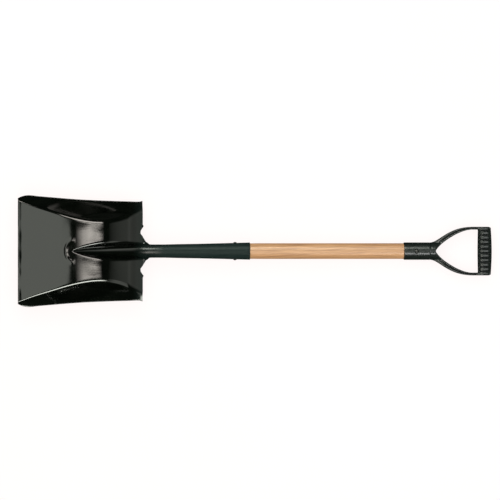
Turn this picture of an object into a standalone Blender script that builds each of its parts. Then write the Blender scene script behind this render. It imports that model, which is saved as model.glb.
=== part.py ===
"""Square-mouth D-handle shovel, lying face up on the ground.

Metres, +Z up, +X from the blade to the grip. The pieces are drawn in the handle's own frame: its
X runs along the middle of the shaft and starts at the cutting edge. An empty then tips that frame
so that the heel of the blade and the hand bar both rest on the ground.
"""

import math

import bmesh
import bpy
from mathutils import Matrix, Vector

# How the tool lies.
REST_PITCH = math.radians(2.207)

# Stations along the handle, from the cutting edge.
FROG_TIP_X = 0.124
STEP_EDGE_X = 0.2845
NOTCH_X = 0.2795
ROLL_START_X = 0.2835
SHOULDER_X = 0.2925
ROLL_END_X = 0.306
TUBE_CLOSED_X = 0.314
TUBE_RADIUS_X = 0.336
TAIL_END_X = 0.345
RIVET_X = 0.4958
SOCKET_MOUTH_X = 0.530
FERRULE_START_X = 0.8825
SCREW_X = 0.9116
SPIGOT_END_X = 0.937
FERRULE_END_X = 0.9415
CROTCH_X = 0.955
ARMS_LEVEL_X = 1.041
BAR_INNER_X = 1.0540
BAR_OUTER_X = 1.0828
BAR_BULGE = 0.0022

# Blade sheet. Each table is (station, value) for one smooth curve.
SHEET = 0.0016
FLOOR_Z = ((0.0, -0.0175), (0.05, -0.0305), (0.10, -0.0425), (0.15, -0.0492), (0.20, -0.0468),
           (0.25, -0.0285), (0.2715, -0.0136), (0.2865, -0.0034))
CREST_Z = ((0.124, -0.0464), (0.15, -0.0350), (0.20, -0.0165), (0.25, -0.0005), (0.283, 0.0090),
           (0.31, 0.0136), (0.34, 0.0153), (0.42, 0.0169), (0.53, 0.0197))
FOLD_Y = ((0.0, 0.1160), (0.03, 0.1045), (0.075, 0.0915), (0.12, 0.0785), (0.16, 0.0705),
          (0.195, 0.0685), (0.23, 0.0735), (0.26, 0.0840), (0.2865, 0.0980))
RIM_Y = ((0.0, 0.1200), (0.008, 0.1240), (0.020, 0.1268), (0.032, 0.1265), (0.045, 0.1248),
         (0.075, 0.1222), (0.11, 0.1192), (0.15, 0.1164), (0.20, 0.1142), (0.25, 0.1127),
         (0.278, 0.1124), (0.2865, 0.1152))
RIM_Z = ((0.0, -0.0140), (0.008, -0.0122), (0.020, -0.0110), (0.07, -0.0075), (0.15, -0.0045),
         (0.20, -0.0028), (0.25, 0.0), (0.2865, 0.0025))
FOLD_RADIUS = ((0.0, 0.006), (0.06, 0.012), (0.13, 0.015), (0.20, 0.017), (0.2865, 0.030))
ARCH_RADIUS = ((0.124, 0.0014), (0.134, 0.0040), (0.153, 0.0070), (0.188, 0.0096), (0.233, 0.0118),
               (0.283, 0.0155))
ARCH_FOOT_RADIUS = ((0.124, 0.0012), (0.134, 0.0024), (0.153, 0.0056), (0.188, 0.0094),
                    (0.233, 0.0084), (0.283, 0.0060))
ARCH_FLANK = math.radians(76)
STRIP_HALF = 0.040
SHOULDER_HALF = 0.0235
SEAM_HALF_ANGLE = math.radians(6)
NOTCH_HALF = 0.015
HOOK_LENGTH = 0.0022
HOOK_WIDTH = 0.004
STRIP_COLUMNS = 11
FLOOR_COLUMNS = 7
FLOOR_CROWDING = 1.6
FOLD_COLUMNS = 5
WALL_COLUMNS = 2
EDGE_BLEND_X = 0.262

# Rows of the blade sheet: (last station, number of rows up to it).
PAN_ROWS = ((0.03, 4), (0.11, 3), (0.140, 5), (0.255, 6), (NOTCH_X, 5))
SOCKET_ROWS = ((SHOULDER_X, 5), (TUBE_CLOSED_X, 6), (0.35, 3), (SOCKET_MOUTH_X, 4))

# Shaft, rivet and screw.
SHAFT_R = 0.0179
TAIL_GAP = 0.0004
TAIL_NOSE = ((0.341, 0.0070), (0.344, 0.0110))
MOUTH_LEAD = 0.004
SPIGOT_R = 0.0158
SPIGOT_CHAMFER = 0.0015
RIVET_R = 0.0030
RIVET_HEAD_R = 0.0040
RIVET_HEAD_H = 0.0017
SCREW_R = 0.0021
SCREW_HEAD_R = 0.0038
SCREW_HEAD_H = 0.0016
SCREW_TIP_Z = -0.004
CLEARANCE = 0.0003
CUTTER_HALF = 0.03

# D-grip.
FERRULE_R = 0.0199
FERRULE_BORE_R = 0.0162
FERRULE_LIP = 0.0016
FERRULE_NOSE = ((0.9455, 0.0184), (0.9485, 0.0130))
ARM_OUTER = ((FERRULE_END_X, 0.0196), (0.966, 0.0199), (0.985, 0.0557), (ARMS_LEVEL_X, 0.0557))
ARM_INNER = ((CROTCH_X, 0.0), (CROTCH_X, 0.0080), (1.004, 0.0495), (ARMS_LEVEL_X, 0.0495))
CROTCH_BACK_X = 0.9375
CROTCH_BACK_DEPTH = 0.006
CROTCH_BACK_HALF = 0.018
ARM_STEPS = 14
ARM_END_X = 1.0812
ARM_CORNER = 0.0045
ROOT_R = 0.0194
ROOT_LEAST_Z = 0.003
ARM_DEPTH = ((0.0, 0.0150), (0.25, 0.0138), (0.5, 0.0122), (0.8, 0.0122), (1.0, 0.0135))
ARM_EDGE = 0.0012
CHANNEL_SHARE = 0.26
CHANNEL_DEPTH = 0.0070
BAR_THICK = 0.0165
BAR_END_THICK = 0.0148
BAR_HALF_LENGTH = 0.0540
BAR_ROUNDNESS = 3.0
BAR_INNER_SHARE = 0.4
BAR_STATIONS = 12
BAR_POINTS = 28
GROOVES = 10
GROOVE_PITCH = 0.0104
GROOVE_HALF = 0.0023
GROOVE_LENGTH = 0.0360
GROOVE_FLOOR_Z = 0.0070
GROOVE_TOP_Z = 0.0200
RIB_ROUND = 0.0009
ARC_STEPS = 3
RECESS_R = 0.0050
RECESS_DEPTH = 0.0024

# Colour, roughness and metallic value of each piece.
FINISHES = {
    "black_enamel": ((0.010, 0.011, 0.010, 1), 0.12, 0.0),
    "bare_ash": ((0.60, 0.37, 0.20, 1), 0.55, 0.0),
    "dark_steel": ((0.05, 0.055, 0.05, 1), 0.40, 0.8),
    "green_black_plastic": ((0.018, 0.024, 0.020, 1), 0.38, 0.0),
    "bright_steel": ((0.45, 0.45, 0.43, 1), 0.35, 1.0),
}


def through(points, x):
    """The value at x of the smooth curve through the (station, value) points."""
    x = min(max(x, points[0][0]), points[-1][0])
    after = next(i for i in range(1, len(points)) if x <= points[i][0])
    before = after - 1

    def slope(i):
        low, high = max(i - 1, 0), min(i + 1, len(points) - 1)
        return (points[high][1] - points[low][1]) / (points[high][0] - points[low][0])

    span = points[after][0] - points[before][0]
    t = (x - points[before][0]) / span
    rise = points[after][1] - points[before][1]
    start = slope(before) * span
    end = slope(after) * span
    return points[before][1] + start * t + (3 * rise - 2 * start - end) * t**2 + (start + end - 2 * rise) * t**3


def smoothstep(low, high, x):
    t = min(max((x - low) / (high - low), 0.0), 1.0)
    return t * t * (3 - 2 * t)


def spaced(start, end, count):
    """Count evenly spaced values after start, the last of them at end."""
    return [start + (end - start) * (i + 1) / count for i in range(count)]


def bezier(corners, t):
    weights = ((1 - t) ** 3, 3 * t * (1 - t) ** 2, 3 * t * t * (1 - t), t**3)
    return tuple(sum(w * corner[k] for w, corner in zip(weights, corners)) for k in (0, 1))


def material(name):
    colour, roughness, metallic = FINISHES[name]
    made = bpy.data.materials.new(name)
    made.use_nodes = True
    shader = made.node_tree.nodes["Principled BSDF"]
    shader.inputs["Base Color"].default_value = colour
    shader.inputs["Roughness"].default_value = roughness
    shader.inputs["Metallic"].default_value = metallic
    made.diffuse_color = colour
    return made


def add_object(name, bm, finish=None, sharp=40):
    """Turns the bmesh into an object, with its faces pointing out."""
    bmesh.ops.recalc_face_normals(bm, faces=bm.faces)
    mesh = bpy.data.meshes.new(name)
    bm.to_mesh(mesh)
    bm.free()
    mesh.shade_smooth()
    mesh.set_sharp_from_angle(angle=math.radians(sharp))
    made = bpy.data.objects.new(name, mesh)
    bpy.context.scene.collection.objects.link(made)
    if finish:
        mesh.materials.append(material(finish))
    return made


def add_cutter(name, bm):
    made = add_object(name, bm)
    made.hide_render = True
    made.display_type = "WIRE"
    return made


def boolean(target, other, operation):
    change = target.modifiers.new(f"{operation}_{other.name}", "BOOLEAN")
    change.operation = operation
    change.solver = "EXACT"
    change.object = other


def turned(profile, segments, turn=Matrix()):
    """A solid turned about X from (x, radius) points, then placed by the turn matrix."""
    bm = bmesh.new()
    rings = []
    for x, radius in profile:
        angles = [math.tau * k / segments for k in range(segments)]
        rings.append([bm.verts.new((x, radius * math.cos(a), radius * math.sin(a))) for a in angles])
    for ring, following in zip(rings, rings[1:]):
        for k in range(segments):
            after = (k + 1) % segments
            bm.faces.new((ring[k], ring[after], following[after], following[k]))
    bm.faces.new(rings[0])
    bm.faces.new(rings[-1])
    bm.transform(turn)
    return bm


def skin(sections):
    """A closed solid through sections that all have the same number of points."""
    bm = bmesh.new()
    rings = [[bm.verts.new(point) for point in section] for section in sections]
    for ring, following in zip(rings, rings[1:]):
        for k in range(len(ring)):
            after = (k + 1) % len(ring)
            bm.faces.new((ring[k], ring[after], following[after], following[k]))
    bm.faces.new(rings[0])
    bm.faces.new(rings[-1])
    return bm


# ---------------------------------------------------------------- blade


def arch(x):
    """Top radius, foot radius, flank angle, flank length and half width of the frog at x."""
    top, foot = through(ARCH_RADIUS, x), through(ARCH_FOOT_RADIUS, x)
    height = max(through(CREST_Z, x) - through(FLOOR_Z, x), 0.0) if x > FROG_TIP_X else 0.0
    full = (top + foot) * (1 - math.cos(ARCH_FLANK))
    if height < full:
        flank, angle = 0.0, math.acos(1 - height / (top + foot))
    else:
        flank, angle = (height - full) / math.sin(ARCH_FLANK), ARCH_FLANK
    half = (top + foot) * math.sin(angle) + flank * math.cos(angle)
    return top, foot, angle, flank, half


def arch_slope(x, s):
    """Downward angle of the open section at arc length s from its crest."""
    top, foot, angle, flank, _ = arch(x)
    if s < top * angle:
        return s / top
    if s < top * angle + flank:
        return angle
    return max(angle - (s - top * angle - flank) / foot, 0.0)


def strip(x):
    """Half of the middle strip: open arch over the pan, rolled into the socket behind it.

    Behind the notch the sheet is cut back to a pointed shoulder before it closes under the socket.
    """
    rolled = smoothstep(ROLL_START_X, ROLL_END_X, x)
    closed = smoothstep(SHOULDER_X, TUBE_CLOSED_X, x)
    cut_back = min(max((x - NOTCH_X) / (SHOULDER_X - NOTCH_X), 0.0), 1.0)
    top, foot, angle, flank, half = arch(x)
    reach = STRIP_HALF + (SHOULDER_HALF - STRIP_HALF) * cut_back
    open_length = (top + foot) * angle + flank + reach - half
    radius = through(CREST_Z, max(x, TUBE_RADIUS_X))
    tube_length = radius * (math.pi - SEAM_HALF_ANGLE)
    length = open_length + (tube_length - open_length) * closed
    crest = through(CREST_Z, x) if x > FROG_TIP_X else through(FLOOR_Z, x)
    steps = 12 * STRIP_COLUMNS
    points, y, z = [(0.0, crest)], 0.0, crest
    for i in range(steps):
        s = length * (i + 0.5) / steps
        bend = arch_slope(x, s) * (1 - rolled) + s / radius * rolled
        y += length / steps * math.cos(bend)
        z -= length / steps * math.sin(bend)
        if (i + 1) % 12 == 0:
            points.append((y, z))
    return points


def pan_edge_points(x):
    """Half of the pan outside the middle strip: floor, rounded fold and side wall."""
    floor, fold = through(FLOOR_Z, x), through(FOLD_Y, x)
    rim_y, rim_z = through(RIM_Y, x), through(RIM_Z, x)
    wall = math.atan2(rim_z - floor, rim_y - fold)
    reach = 0.9 * math.hypot(rim_z - floor, rim_y - fold)
    tangent = min(through(FOLD_RADIUS, x) * math.tan(wall / 2), reach)
    radius = tangent / math.tan(wall / 2)
    floor_end = fold - tangent
    shares = [share**FLOOR_CROWDING for share in spaced(0.0, 1.0, FLOOR_COLUMNS)]
    points = [(STRIP_HALF + (floor_end - STRIP_HALF) * share, floor) for share in shares]
    for angle in spaced(0.0, wall, FOLD_COLUMNS):
        points.append((floor_end + radius * math.sin(angle), floor + radius * (1 - math.cos(angle))))
    wall_start = points[-1]
    for share in spaced(0.0, 1.0, WALL_COLUMNS):
        points.append((wall_start[0] + (rim_y - wall_start[0]) * share,
                       wall_start[1] + (rim_z - wall_start[1]) * share))
    return points


def step_edge_x(y):
    """Station of the rear edge at distance y from the middle, with its notch and small hook."""
    notch = smoothstep(STRIP_HALF + 0.3 * NOTCH_HALF, STRIP_HALF + NOTCH_HALF, y)
    hook = HOOK_LENGTH * max(1 - abs(y - STRIP_HALF - NOTCH_HALF) / HOOK_WIDTH, 0.0)
    return NOTCH_X + (STEP_EDGE_X - NOTCH_X) * notch + hook


def stations(start, rows):
    """Stations after start, from (last station, number of rows) runs."""
    found = []
    for end, count in rows:
        found += spaced(start, end, count)
        start = end
    return found


def blade_sheet():
    """The upper and outer face of the pressing, as one open surface."""
    bm = bmesh.new()
    rows = []
    for x in [0.0] + stations(0.0, PAN_ROWS):
        near_edge = smoothstep(EDGE_BLEND_X, NOTCH_X, x)
        half = strip(x)
        for k, (y, _) in enumerate(pan_edge_points(x)):
            moved = x + (step_edge_x(y) - NOTCH_X) * near_edge
            half.append((*pan_edge_points(moved)[k], moved))
        half = [point if len(point) == 3 else (*point, x) for point in half]
        left = [bm.verts.new((px, y, z)) for y, z, px in reversed(half[1:])]
        right = [bm.verts.new((px, -y, z)) for y, z, px in half]
        rows.append(left + right)
    middle = len(rows[0]) // 2
    strip_row = rows[-1][middle - STRIP_COLUMNS:middle + STRIP_COLUMNS + 1]
    tube_rows = [strip_row]
    for x in stations(NOTCH_X, SOCKET_ROWS):
        half = strip(x)
        left = [bm.verts.new((x, y, z)) for y, z in reversed(half[1:])]
        tube_rows.append(left + [bm.verts.new((x, -y, z)) for y, z in half])
    for group in (rows, tube_rows):
        for row, following in zip(group, group[1:]):
            for k in range(len(row) - 1):
                bm.faces.new((row[k], row[k + 1], following[k + 1], following[k]))
    return bm


def make_blade():
    blade = add_object("blade", blade_sheet(), "black_enamel", sharp=60)
    if blade.data.polygons[0].normal.z < 0:
        blade.data.flip_normals()
    wall = blade.modifiers.new("sheet", "SOLIDIFY")
    wall.thickness = SHEET
    wall.offset = -1
    wall.use_even_offset = True
    radius = RIVET_R + CLEARANCE
    hole = turned([(-CUTTER_HALF, radius), (CUTTER_HALF, radius)], 20, cross_axis(RIVET_X))
    boolean(blade, add_cutter("rivet_hole_cutter", hole), "DIFFERENCE")
    return blade


# ---------------------------------------------------------------- shaft and fasteners


def cross_axis(x):
    """Turns a solid made along X so that it runs along Y through station x."""
    return Matrix.Translation((x, 0, 0)) @ Matrix.Rotation(math.pi / 2, 4, "Z")


def upright_axis(x):
    """Turns a solid made along X so that it runs along Z through station x."""
    return Matrix.Translation((x, 0, 0)) @ Matrix.Rotation(-math.pi / 2, 4, "Y")


def make_shaft():
    """Turned stick: rounded tail, taper that follows the socket, plain length, shouldered spigot."""
    profile = list(TAIL_NOSE)
    for x in [TAIL_END_X] + spaced(TAIL_END_X, SOCKET_MOUTH_X - 0.5 * MOUTH_LEAD, 8):
        profile.append((x, min(through(CREST_Z, x) - SHEET - TAIL_GAP, SHAFT_R)))
    shoulder = FERRULE_START_X - CLEARANCE
    profile += [(SOCKET_MOUTH_X + MOUTH_LEAD, SHAFT_R), (shoulder, SHAFT_R), (shoulder, SPIGOT_R)]
    profile += [(SPIGOT_END_X - SPIGOT_CHAMFER, SPIGOT_R), (SPIGOT_END_X, SPIGOT_R - SPIGOT_CHAMFER)]
    shaft = add_object("handle_shaft", turned(profile, 40), "bare_ash")
    hole_r = RIVET_R + CLEARANCE
    hole = turned([(-CUTTER_HALF, hole_r), (CUTTER_HALF, hole_r)], 20, cross_axis(RIVET_X))
    boolean(shaft, add_cutter("shaft_hole_cutter", hole), "DIFFERENCE")
    pilot_r = SCREW_R + CLEARANCE
    pilot = turned([(SCREW_TIP_Z - 0.001, pilot_r), (CUTTER_HALF, pilot_r)], 16, upright_axis(SCREW_X))
    boolean(shaft, add_cutter("pilot_hole_cutter", pilot), "DIFFERENCE")
    return shaft


def make_rivet():
    """Solid rivet with a low dome on each end, side to side through the socket."""
    seat = through(CREST_Z, RIVET_X) + CLEARANCE
    dome = []
    for angle in spaced(0.0, math.radians(75), 4):
        dome.append((seat + RIVET_HEAD_H * math.sin(angle), RIVET_HEAD_R * math.cos(angle)))
    right = [(seat, RIVET_R), (seat, RIVET_HEAD_R)] + dome
    left = [(-x, radius) for x, radius in reversed(right)]
    return add_object("socket_rivet", turned(left + right, 20, cross_axis(RIVET_X)), "dark_steel")


def make_screw():
    """Pan-head screw, sunk in the ferrule's recess and driven into the spigot."""
    seat = FERRULE_R - RECESS_DEPTH + CLEARANCE
    profile = [(SCREW_TIP_Z, 0.0004), (SCREW_TIP_Z + 0.004, SCREW_R), (seat, SCREW_R)]
    profile += [(seat, SCREW_HEAD_R), (seat + 0.6 * SCREW_HEAD_H, SCREW_HEAD_R)]
    profile += [(seat + SCREW_HEAD_H, 0.7 * SCREW_HEAD_R)]
    return add_object("grip_screw", turned(profile, 20, upright_axis(SCREW_X)), "bright_steel")


# ---------------------------------------------------------------- D-grip


def ferrule():
    profile = [(FERRULE_START_X, FERRULE_R - FERRULE_LIP)]
    for angle in spaced(0.0, math.pi / 2, 3):
        profile.append((FERRULE_START_X + FERRULE_LIP * (1 - math.cos(angle)),
                        FERRULE_R - FERRULE_LIP * (1 - math.sin(angle))))
    profile += [(FERRULE_END_X, FERRULE_R), *FERRULE_NOSE]
    return turned(profile, 40)


def arm_section(t):
    """Section of an arm at t: round where it leaves the ferrule, H-shaped further out."""
    inner, outer = arm_outline(t)
    inner, outer = Vector((*inner, 0)), Vector((*outer, 0))
    across = (outer - inner).normalized()
    width = (outer - inner).length
    depth = through(ARM_DEPTH, t)
    channel = CHANNEL_DEPTH * smoothstep(0.15, 0.45, t) * (1 - smoothstep(1.0, 1.4, t))
    groove = 0.5 * CHANNEL_SHARE * width
    middle = 0.5 * width
    edge = min(ARM_EDGE, 0.3 * width)
    top = [(0.0, depth - ARM_EDGE), (edge, depth), (0.5 * (edge + middle - groove), depth),
           (middle - groove, depth), (middle - 0.8 * groove, depth - channel),
           (middle + 0.8 * groove, depth - channel), (middle + groove, depth),
           (0.5 * (width - edge + middle + groove), depth), (width - edge, depth),
           (width, depth - ARM_EDGE)]
    flat = smoothstep(0.05, 0.5, t)
    blended = []
    for w, z in top:
        place = inner + across * w
        round_z = math.sqrt(max(ROOT_R**2 - place.y**2, ROOT_LEAST_Z**2))
        blended.append(place + Vector((0, 0, round_z + (z - round_z) * flat)))
    return blended + [Vector((p.x, p.y, -p.z)) for p in reversed(blended)]


def arm_outline(t):
    """Inner and outer outline points: round the crotch first, then the arm, then its rounded end."""
    if t < 0:
        turn = -t * math.pi / 2
        back_x = CROTCH_BACK_X - CROTCH_BACK_DEPTH * math.sin(turn)
        return (CROTCH_X, 0.0), (back_x, CROTCH_BACK_HALF * math.cos(turn))
    if t <= 1:
        return bezier(ARM_INNER, t), bezier(ARM_OUTER, t)
    inner_y, outer_y = ARM_INNER[-1][1], ARM_OUTER[-1][1]
    corner_x = ARM_END_X - ARM_CORNER
    if t <= 2:
        x = ARMS_LEVEL_X + (corner_x - ARMS_LEVEL_X) * (t - 1)
        return (x, inner_y), (x, outer_y)
    turn = (t - 2) * math.radians(75)
    x = corner_x + ARM_CORNER * math.sin(turn)
    return (x, inner_y), (x, outer_y - ARM_CORNER * (1 - math.cos(turn)))


def arms():
    """Both arms as one horseshoe that runs round the crotch."""
    params = [-1.0, -0.5, 0.0] + spaced(0.0, 1.0, ARM_STEPS) + [1.4, 2.0, 2.4, 2.7, 3.0]
    half = [arm_section(t) for t in params]
    other = [[Vector((p.x, -p.y, p.z)) for p in section] for section in reversed(half[1:])]
    return skin(other + half)


def bar_section(y):
    """Rounded section of the hand bar, fattest in the middle of its length."""
    swell = math.cos(0.5 * math.pi * y / BAR_HALF_LENGTH)
    outer = BAR_OUTER_X + BAR_BULGE * swell
    inner = BAR_INNER_X - BAR_INNER_SHARE * BAR_BULGE * swell
    thick = BAR_END_THICK + (BAR_THICK - BAR_END_THICK) * swell
    points = []
    for k in range(BAR_POINTS):
        angle = math.tau * (k + 0.5) / BAR_POINTS
        power = 2 / BAR_ROUNDNESS
        across = math.copysign(abs(math.cos(angle)) ** power, math.cos(angle))
        up = math.copysign(abs(math.sin(angle)) ** power, math.sin(angle))
        points.append((0.5 * (inner + outer) + 0.5 * (outer - inner) * across, y, thick * up))
    return points


def groove_outline(middle):
    """Section of one groove: a V whose lips are rounded over to the ribs on both sides."""
    half = [(middle + GROOVE_HALF + RIB_ROUND, GROOVE_TOP_Z)]
    for turn in spaced(0.0, math.pi / 2, ARC_STEPS):
        half.append((middle + GROOVE_HALF + RIB_ROUND * (1 - math.sin(turn)),
                     BAR_THICK - RIB_ROUND * (1 - math.cos(turn))))
    return half + [(middle, GROOVE_FLOOR_Z)] + [(2 * middle - y, z) for y, z in reversed(half)]


def groove_cutters():
    """One cutter per groove: ten across the face of the bar and ten across its underside."""
    middle_x = 0.5 * (BAR_INNER_X + BAR_OUTER_X)
    ends = (middle_x - 0.5 * GROOVE_LENGTH, middle_x + 0.5 * GROOVE_LENGTH)
    for side in (-1, 1):
        for i in range(GROOVES):
            outline = groove_outline((i - 0.5 * (GROOVES - 1)) * GROOVE_PITCH)
            yield skin([[(x, y, side * z) for y, z in outline] for x in ends])


def make_grip():
    grip = add_object("d_grip", ferrule(), "green_black_plastic", sharp=35)
    boolean(grip, add_cutter("grip_arms", arms()), "UNION")
    sections = [bar_section(y) for y in spaced(-BAR_HALF_LENGTH, BAR_HALF_LENGTH, BAR_STATIONS)]
    boolean(grip, add_cutter("grip_bar", skin([bar_section(-BAR_HALF_LENGTH)] + sections)), "UNION")
    for i, cutter in enumerate(groove_cutters()):
        boolean(grip, add_cutter(f"groove_cutter_{i}", cutter), "DIFFERENCE")
    bore = [(FERRULE_START_X - 0.01, FERRULE_BORE_R), (SPIGOT_END_X + 0.001, FERRULE_BORE_R)]
    boolean(grip, add_cutter("bore_cutter", turned(bore, 40)), "DIFFERENCE")
    shank_r = SCREW_R + CLEARANCE
    floor = FERRULE_R - RECESS_DEPTH
    recess = [(0.5 * FERRULE_R, shank_r), (floor, shank_r), (floor, RECESS_R), (CUTTER_HALF, RECESS_R)]
    boolean(grip, add_cutter("recess_cutter", turned(recess, 24, upright_axis(SCREW_X))), "DIFFERENCE")
    return grip


# ---------------------------------------------------------------- assembly


def stand_on_ground(root, pieces):
    """Moves the root so that the box round the pieces stands centred on the origin."""
    bpy.context.view_layer.update()
    graph = bpy.context.evaluated_depsgraph_get()
    corners = []
    for piece in pieces:
        evaluated = piece.evaluated_get(graph)
        place = evaluated.matrix_world
        corners += [place @ vertex.co for vertex in evaluated.data.vertices]
    low = [min(corner[axis] for corner in corners) for axis in range(3)]
    high = [max(corner[axis] for corner in corners) for axis in range(3)]
    root.location -= Vector((0.5 * (low[0] + high[0]), 0.5 * (low[1] + high[1]), low[2]))


def main():
    for old in list(bpy.data.objects):
        bpy.data.objects.remove(old)
    root = bpy.data.objects.new("shovel", None)
    bpy.context.scene.collection.objects.link(root)
    pieces = [make_blade(), make_shaft(), make_rivet(), make_screw(), make_grip()]
    for made in bpy.context.scene.collection.objects:
        if made is not root:
            made.parent = root
    root.rotation_euler = (0, REST_PITCH, 0)
    stand_on_ground(root, pieces)


main()
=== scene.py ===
"""Looks of the square-mouth D-handle shovel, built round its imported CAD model.

Metres. Like the CAD, the pieces are drawn in the handle's own frame: X runs along the middle of the
shaft and starts at the cutting edge. lay_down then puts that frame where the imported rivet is.
"""

import math

import bmesh
import bpy
from mathutils import Matrix, Vector, noise


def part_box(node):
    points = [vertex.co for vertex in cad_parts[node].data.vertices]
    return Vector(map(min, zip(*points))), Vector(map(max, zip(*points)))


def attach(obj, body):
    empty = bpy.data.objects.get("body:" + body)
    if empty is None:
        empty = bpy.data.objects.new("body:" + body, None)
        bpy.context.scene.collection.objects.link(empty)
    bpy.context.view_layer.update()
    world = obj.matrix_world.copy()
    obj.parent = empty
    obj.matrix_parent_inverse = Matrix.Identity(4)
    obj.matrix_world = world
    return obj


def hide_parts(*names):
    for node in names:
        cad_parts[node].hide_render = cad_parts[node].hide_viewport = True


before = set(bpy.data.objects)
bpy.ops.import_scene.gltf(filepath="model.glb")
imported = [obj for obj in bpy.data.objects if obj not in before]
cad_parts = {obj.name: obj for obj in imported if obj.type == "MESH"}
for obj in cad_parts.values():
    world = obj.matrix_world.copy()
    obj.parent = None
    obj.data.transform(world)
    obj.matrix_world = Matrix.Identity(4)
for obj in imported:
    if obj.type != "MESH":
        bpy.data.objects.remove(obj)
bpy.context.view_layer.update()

# How the tool lies.
REST_PITCH = math.radians(2.207)

# Stations along the handle, from the cutting edge.
FROG_TIP_X = 0.124
STEP_EDGE_X = 0.2845
NOTCH_X = 0.2795
ROLL_START_X = 0.2835
SHOULDER_X = 0.2925
ROLL_END_X = 0.306
TUBE_CLOSED_X = 0.314
TUBE_RADIUS_X = 0.336
TAIL_END_X = 0.345
RIVET_X = 0.4958
SOCKET_MOUTH_X = 0.530
FERRULE_START_X = 0.8825
SCREW_X = 0.9116
SPIGOT_END_X = 0.937
FERRULE_END_X = 0.9415
CROTCH_X = 0.955
ARMS_LEVEL_X = 1.041
BAR_INNER_X = 1.0540
BAR_OUTER_X = 1.0828
BAR_BULGE = 0.0022

# Blade sheet. Each table is (station, value) for one smooth curve.
SHEET = 0.0016
FLOOR_Z = ((0.0, -0.0175), (0.05, -0.0305), (0.10, -0.0425), (0.15, -0.0492), (0.20, -0.0468),
           (0.25, -0.0285), (0.2715, -0.0136), (0.2865, -0.0034))
CREST_Z = ((0.124, -0.0464), (0.15, -0.0350), (0.20, -0.0165), (0.25, -0.0005), (0.283, 0.0090),
           (0.31, 0.0136), (0.34, 0.0153), (0.42, 0.0169), (0.53, 0.0197))
FOLD_Y = ((0.0, 0.1160), (0.03, 0.1045), (0.075, 0.0915), (0.12, 0.0785), (0.16, 0.0705),
          (0.195, 0.0685), (0.23, 0.0735), (0.26, 0.0840), (0.2865, 0.0980))
RIM_Y = ((0.0, 0.1200), (0.008, 0.1240), (0.020, 0.1268), (0.032, 0.1265), (0.045, 0.1248),
         (0.075, 0.1222), (0.11, 0.1192), (0.15, 0.1164), (0.20, 0.1142), (0.25, 0.1127),
         (0.278, 0.1124), (0.2865, 0.1152))
RIM_Z = ((0.0, -0.0140), (0.008, -0.0122), (0.020, -0.0110), (0.07, -0.0075), (0.15, -0.0045),
         (0.20, -0.0028), (0.25, 0.0), (0.2865, 0.0025))
FOLD_RADIUS = ((0.0, 0.006), (0.06, 0.012), (0.13, 0.015), (0.20, 0.017), (0.2865, 0.030))
ARCH_RADIUS = ((0.124, 0.0014), (0.134, 0.0040), (0.153, 0.0070), (0.188, 0.0096), (0.233, 0.0118),
               (0.283, 0.0155))
ARCH_FOOT_RADIUS = ((0.124, 0.0012), (0.134, 0.0024), (0.153, 0.0056), (0.188, 0.0094),
                    (0.233, 0.0084), (0.283, 0.0060))
ARCH_FLANK = math.radians(76)
STRIP_HALF = 0.040
SHOULDER_HALF = 0.0235
SEAM_HALF_ANGLE = math.radians(6)
NOTCH_HALF = 0.015
NOTCH_FLAT_SHARE = 0.3
HOOK_LENGTH = 0.0022
HOOK_WIDTH = 0.004
STRIP_COLUMNS = 30
STEPS_PER_COLUMN = 8
FLOOR_COLUMNS = 20
FLOOR_CROWDING = 1.3
FOLD_COLUMNS = 14
FOLD_REACH = 0.9
WALL_COLUMNS = 10
EDGE_BLEND_X = 0.262
PAN_ROWS = ((0.03, 24), (0.10, 30), (0.145, 40), (0.255, 46), (NOTCH_X, 16))
SOCKET_ROWS = ((SHOULDER_X, 10), (TUBE_CLOSED_X, 12), (0.35, 8), (SOCKET_MOUTH_X, 24))
EDGE_ROUND = 0.0004
SHEET_CREASE = 60

# The enamel turns from gloss to satin between these stations.
GLOSS_END_X = 0.262
SATIN_START_X = 0.335

# Small shapes that the press leaves in the pan.
RING_X = 0.1255
RING_STRETCH = 1.4
RING_RADIUS = 0.0245
RING_WIDTH = 0.0050
RING_DEPTH = 0.0006
RING_FADE = 0.006
LIP_LENGTH = 0.011
LIP_DROP = 0.0004
LIP_WAVES_PER_METRE = 24
WAVE_HEIGHT = 0.00020
WAVE_PER_METRE = 26
WAVES_FADE_X = (0.20, 0.27)

# Shaft, rivet and screw.
SHAFT_R = 0.0179
TAIL_ROUNDING = ((-0.004, 0.0070), (-0.001, 0.0110))
TAIL_GAP = 0.0004
MOUTH_LEAD = 0.004
SPIGOT_R = 0.0158
TAIL_ROWS = 12
SHAFT_ROWS = 24
RIVET_R = 0.0030
RIVET_HEAD_R = 0.0040
RIVET_HEAD_H = 0.0017
RIVET_DOME = math.radians(80)
RIVET_DOME_STEPS = 8
SCREW_R = 0.0021
SCREW_HEAD_R = 0.0038
SCREW_HEAD_H = 0.0016
SCREW_DOME = math.radians(70)
SCREW_DOME_STEPS = 5
SCREW_POINT_R = 0.0004
SCREW_POINT_LENGTH = 0.004
SCREW_TIP_Z = -0.004
SLOT_WIDTH = 0.0009
SLOT_LENGTH = 1.2 * SCREW_HEAD_R
SLOT_DEPTH = 0.0009
CLEARANCE = 0.0003
WIDE_SEGMENTS = 96
RECESS_SEGMENTS = 48
NARROW_SEGMENTS = 40

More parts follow.
